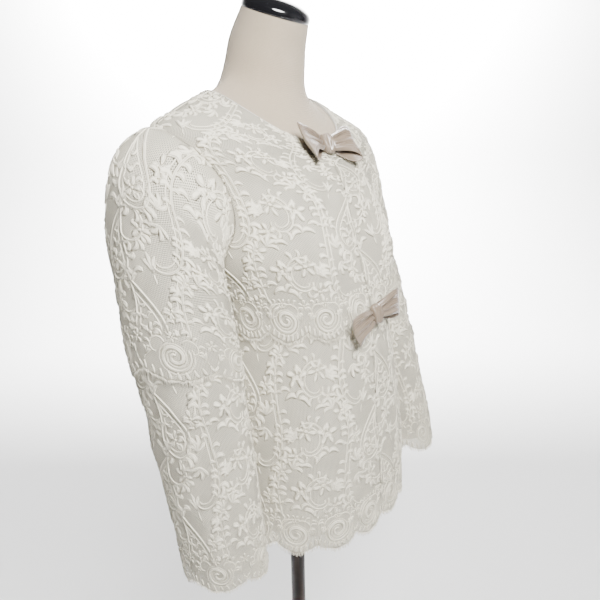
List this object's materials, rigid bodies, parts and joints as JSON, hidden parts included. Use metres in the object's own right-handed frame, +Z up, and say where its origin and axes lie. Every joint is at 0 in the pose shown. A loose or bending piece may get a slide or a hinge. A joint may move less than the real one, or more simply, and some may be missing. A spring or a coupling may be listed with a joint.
{
  "type": "lace jacket on a limbless dress form",
  "caption": "Cream lace jacket with long sleeves, scalloped lace tiers and two satin bows, worn by a limbless dress form on a pole stand.",
  "frame": {"origin": "The centre of the flat underside of the base, on the pole's axis, on the floor.", "axes": "+Z up. The jacket's front faces -Y. +X is towards the wearer's left."},
  "size_m": [0.5522, 0.38, 1.2608],
  "materials": {
    "lace": "cream corded lace, matt",
    "lining": "pale grey cream lining with a soft sheen",
    "satin": "pale champagne satin ribbon",
    "linen": "natural linen cover, matt",
    "black_gloss": "glossy black",
    "dark_wood": "dark brown stain under clear varnish"
  },
  "bodies": {
    "root": {"base": "dark_wood", "bodice_back": "lace", "bodice_front_left": "lace", "bodice_front_right": "lace", "form_torso": "linen", "lining_back": "lining", "lining_front_left": "lining", "lining_front_right": "lining", "lining_sleeve_left": "lining", "lining_sleeve_right": "lining", "neck_bow_knot": "satin", "neck_bow_loop_left": "satin", "neck_bow_loop_right": "satin", "neck_cap": "black_gloss", "pole": "dark_wood", "skirt_back": "lace", "skirt_front_left": "lace", "skirt_front_right": "lace", "sleeve_lower_left": "lace", "sleeve_lower_right": "lace", "sleeve_upper_left": "lace", "sleeve_upper_right": "lace", "waist_bow_knot": "satin", "waist_bow_loop_left": "satin", "waist_bow_loop_right": "satin"}
  },
  "joints": []
}
